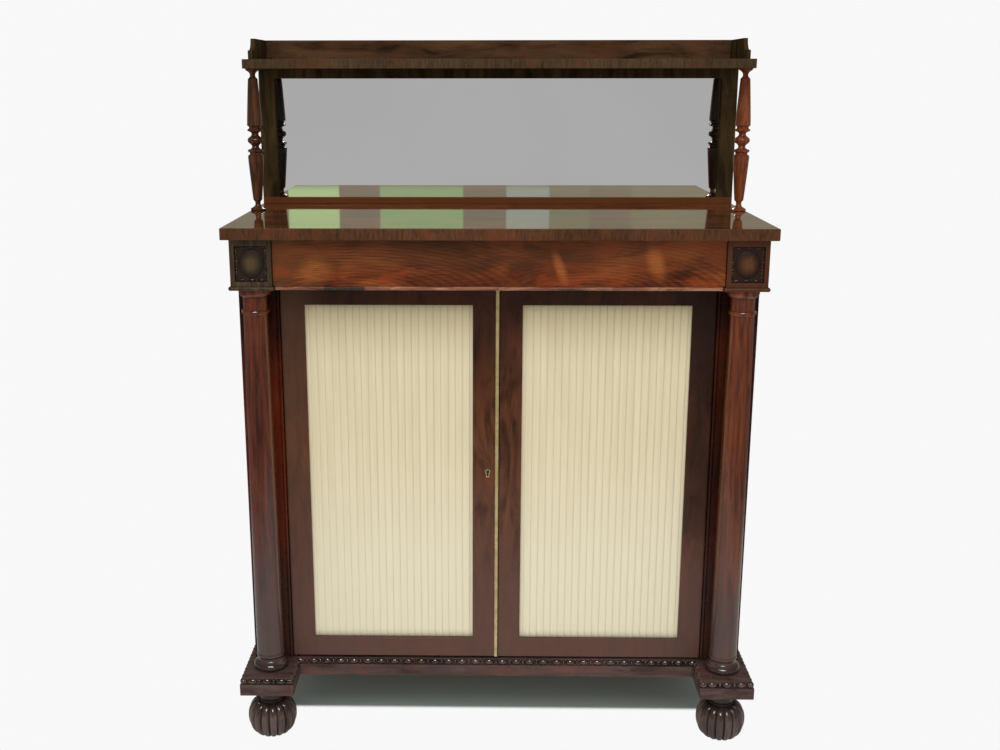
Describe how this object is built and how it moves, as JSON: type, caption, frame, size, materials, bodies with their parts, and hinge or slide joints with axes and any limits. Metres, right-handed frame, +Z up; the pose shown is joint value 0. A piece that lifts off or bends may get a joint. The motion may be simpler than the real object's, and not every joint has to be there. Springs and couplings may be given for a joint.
{
  "type": "chiffonier",
  "caption": "Rosewood chiffonier with silk-panelled cupboard doors, frieze drawer, turned columns, beaded plinth, reeded feet and a mirror-backed shelf with a gallery.",
  "frame": {"origin": "on the floor, below the middle of the overall width and depth", "axes": "+Z up, +X to the right seen from the front, the doors and drawer face -Y"},
  "size_m": [1.005, 0.465, 1.357],
  "materials": {
    "rosewood": "polished",
    "dark_rosewood": "polished",
    "carcase_pine": "matt",
    "silk": "satin cloth",
    "brass": "satin",
    "steel": "satin",
    "mirror": "silvered glass"
  },
  "bodies": {
    "carcase": {"foot_front_left": "dark_rosewood", "foot_back_left": "dark_rosewood", "foot_front_right": "dark_rosewood", "foot_back_right": "dark_rosewood", "plinth_block_left": "dark_rosewood", "plinth_block_right": "dark_rosewood", "plinth_side_left": "dark_rosewood", "plinth_side_right": "dark_rosewood", "plinth_rail_front": "dark_rosewood", "plinth_rail_back": "carcase_pine", "bottom_board": "carcase_pine", "bead_moulding_front": "dark_rosewood", "bead_moulding_left": "dark_rosewood", "bead_moulding_right": "dark_rosewood", "side_panel_left": "rosewood", "side_panel_right": "rosewood", "pilaster_left": "dark_rosewood", "pilaster_right": "dark_rosewood", "back_board": "carcase_pine", "cupboard_shelf": "carcase_pine", "dust_board": "carcase_pine", "top_board": "rosewood", "column_left": "rosewood", "column_right": "rosewood", "abacus_left": "dark_rosewood", "abacus_right": "dark_rosewood", "frieze_block_left": "dark_rosewood", "frieze_block_right": "dark_rosewood", "drawer_guide_left": "carcase_pine", "drawer_guide_right": "carcase_pine", "pivot_pin_lower_left": "brass", "pivot_pin_upper_left": "brass", "pivot_pin_lower_right": "brass", "pivot_pin_upper_right": "brass", "turned_column_left": "rosewood", "turned_column_right": "rosewood", "mirror_frame": "dark_rosewood", "mirror_glass": "mirror", "mirror_back": "carcase_pine", "upper_shelf": "rosewood", "gallery_back": "dark_rosewood", "gallery_end_left": "dark_rosewood", "gallery_end_right": "dark_rosewood"},
    "left_door": {"door_frame_left": "dark_rosewood", "silk_panel_left": "silk", "pivot_plate_lower_left": "brass", "pivot_plate_upper_left": "brass", "meeting_strip": "brass", "escutcheon": "brass", "lock_case": "steel"},
    "right_door": {"door_frame_right": "dark_rosewood", "silk_panel_right": "silk", "pivot_plate_lower_right": "brass", "pivot_plate_upper_right": "brass"},
    "drawer": {"drawer_front": "rosewood", "drawer_side_left": "carcase_pine", "drawer_side_right": "carcase_pine", "drawer_bottom": "carcase_pine", "drawer_back": "carcase_pine"},
    "bolt": {"lock_bolt": "steel"}
  },
  "joints": [
    {"name": "left_door_hinge", "type": "hinge", "parent": "carcase", "child": "left_door", "pos_m": [-0.407, -0.134, 0.524], "axis": [0, 0, -1], "range_deg": [0, 95]},
    {"name": "right_door_hinge", "type": "hinge", "parent": "carcase", "child": "right_door", "pos_m": [0.407, -0.134, 0.524], "axis": [0, 0, 1], "range_deg": [0, 95]},
    {"name": "drawer_slide", "type": "slide", "parent": "carcase", "child": "drawer", "axis": [0, -1, 0], "range_m": [0, 0.3]},
    {"name": "bolt_slide", "type": "slide", "parent": "left_door", "child": "bolt", "axis": [1, 0, 0], "range_m": [0, 0.007]}
  ]
}
